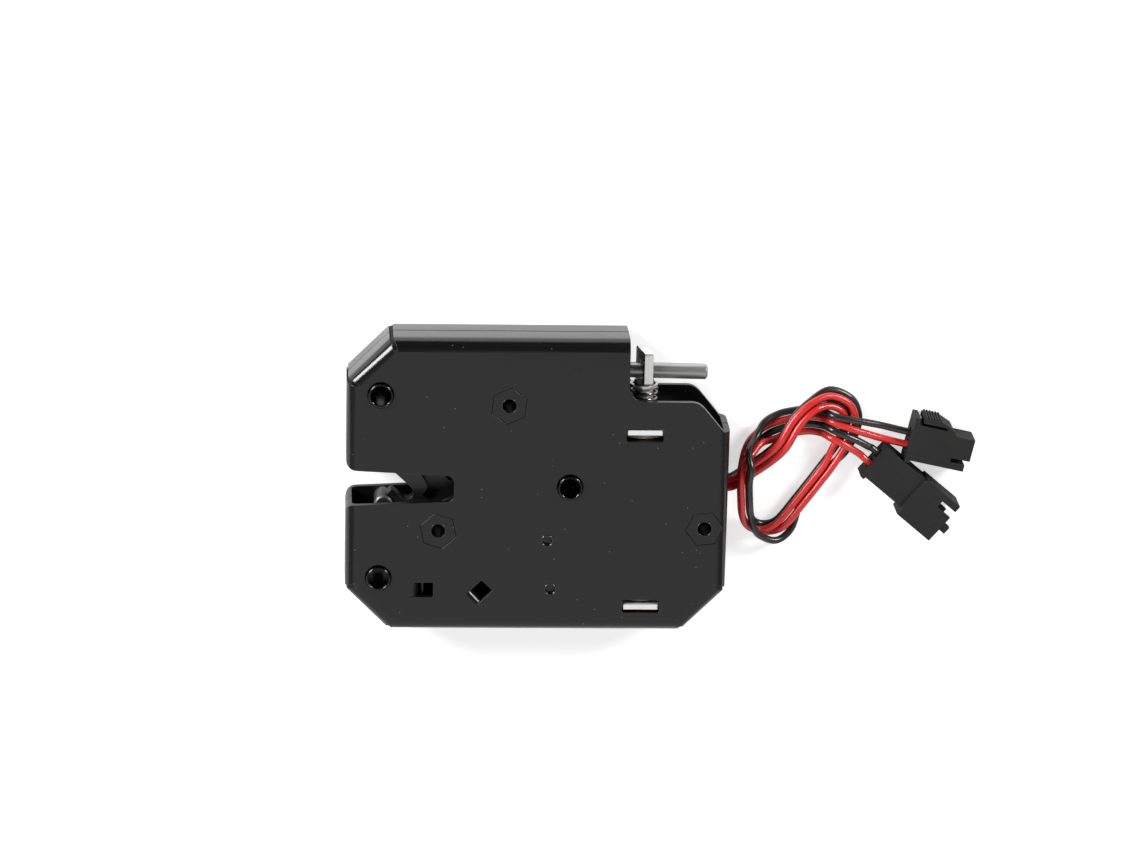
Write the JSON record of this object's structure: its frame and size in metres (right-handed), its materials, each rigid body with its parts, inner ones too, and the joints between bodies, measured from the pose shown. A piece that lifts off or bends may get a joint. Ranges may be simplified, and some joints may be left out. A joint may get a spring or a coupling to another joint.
{
  "type": "solenoid cabinet lock",
  "caption": "Black steel electronic cabinet lock with a rotary hook in a throat, a solenoid, a release rod, a position switch, through bores and plugged pairs of leads.",
  "frame": {"origin": "centre of the casing's footprint, on the outer face of the rear cover", "axes": "+Z from the rear cover to the front face, +X along the casing away from the throat, +Y towards the side with the release rod"},
  "size_m": [0.121, 0.058, 0.0142],
  "materials": {
    "black_paint": "satin black paint on sheet steel",
    "zinc": "zinc-plated steel",
    "nickel": "nickel-plated steel",
    "steel": "bright steel",
    "dark_steel": "blackened steel plate",
    "spring_steel": "spring steel wire",
    "brass": "plain brass",
    "coil_tape": "taped copper winding",
    "nylon": "natural nylon",
    "switch_plastic": "black moulded plastic",
    "tinned": "tinned metal",
    "red_pvc": "red lead sleeve",
    "black_pvc": "black lead sleeve"
  },
  "bodies": {
    "casing": {"front_shell": "black_paint", "rear_shell": "black_paint", "mounting_tube_upper": "zinc", "mounting_tube_middle": "zinc", "mounting_tube_lower": "zinc", "standoff_lever": "black_paint", "standoff_hook": "black_paint", "standoff_right": "black_paint", "cover_screw_lever": "zinc", "cover_screw_hook": "zinc", "cover_screw_right": "zinc", "stop_post": "zinc", "hook_spacer": "brass", "hook_spring": "spring_steel", "lever_spacer": "brass", "lever_collar": "brass", "solenoid_frame": "zinc", "bobbin": "nylon", "coil_winding": "coil_tape", "fixed_core": "nickel", "return_spring": "spring_steel", "switch_housing": "switch_plastic", "terminal_common": "tinned", "terminal_open": "tinned", "terminal_closed": "tinned", "coil_lead_black": "black_pvc", "coil_lead_red": "red_pvc", "switch_lead_black": "black_pvc", "switch_lead_red": "red_pvc", "plug_housing": "switch_plastic", "plug_contact_black": "brass", "plug_contact_red": "brass", "socket_housing": "switch_plastic", "socket_contact_black": "brass", "socket_contact_red": "brass"},
    "hook": {"hook_plate": "dark_steel", "finger_plate": "dark_steel", "finger_rivet": "steel", "switch_pin": "steel"},
    "release_lever": {"pawl_lever": "dark_steel", "release_rod": "steel"},
    "solenoid_plunger": {"plunger": "nickel", "plunger_washer": "nickel"},
    "switch_strip": {"switch_lever": "spring_steel"},
    "switch_plunger": {"switch_button": "nylon"}
  },
  "joints": [
    {"name": "hook_turn", "type": "hinge", "parent": "casing", "child": "hook", "pos_m": [-0.01885, -0.0088, 0.0055], "axis": [0, 0, -1], "range_deg": [0, 47], "stiffness_Nm_per_rad": 0.02, "springref_deg": -28.65, "deforming": ["hook_spring"]},
    {"name": "lever_turn", "type": "hinge", "parent": "casing", "child": "release_lever", "pos_m": [-0.0057, 0.0161, 0.0055], "axis": [0, 0, -1], "range_deg": [0, 6], "stiffness_Nm_per_rad": 0.08, "springref_deg": -8.88},
    {"name": "plunger_slide", "type": "slide", "parent": "casing", "child": "solenoid_plunger", "axis": [0, -1, 0], "range_m": [0, 0.0029], "deforming": ["return_spring"]},
    {"name": "switch_lever_turn", "type": "hinge", "parent": "casing", "child": "switch_strip", "pos_m": [-0.00429, -0.02503, 0.00885], "axis": [0, 0, -1], "range_deg": [0, 5.6]},
    {"name": "switch_button_slide", "type": "slide", "parent": "casing", "child": "switch_plunger", "axis": [0.9969, 0.0786, 0], "range_m": [0, 0.00062]}
  ],
  "couplings": [
    {"joint": "plunger_slide", "follows": "lever_turn", "m_per_rad": 0.0258},
    {"joint": "switch_lever_turn", "follows": "hook_turn", "ratio": 0.11277},
    {"joint": "switch_button_slide", "follows": "hook_turn", "m_per_rad": 0.000713}
  ]
}
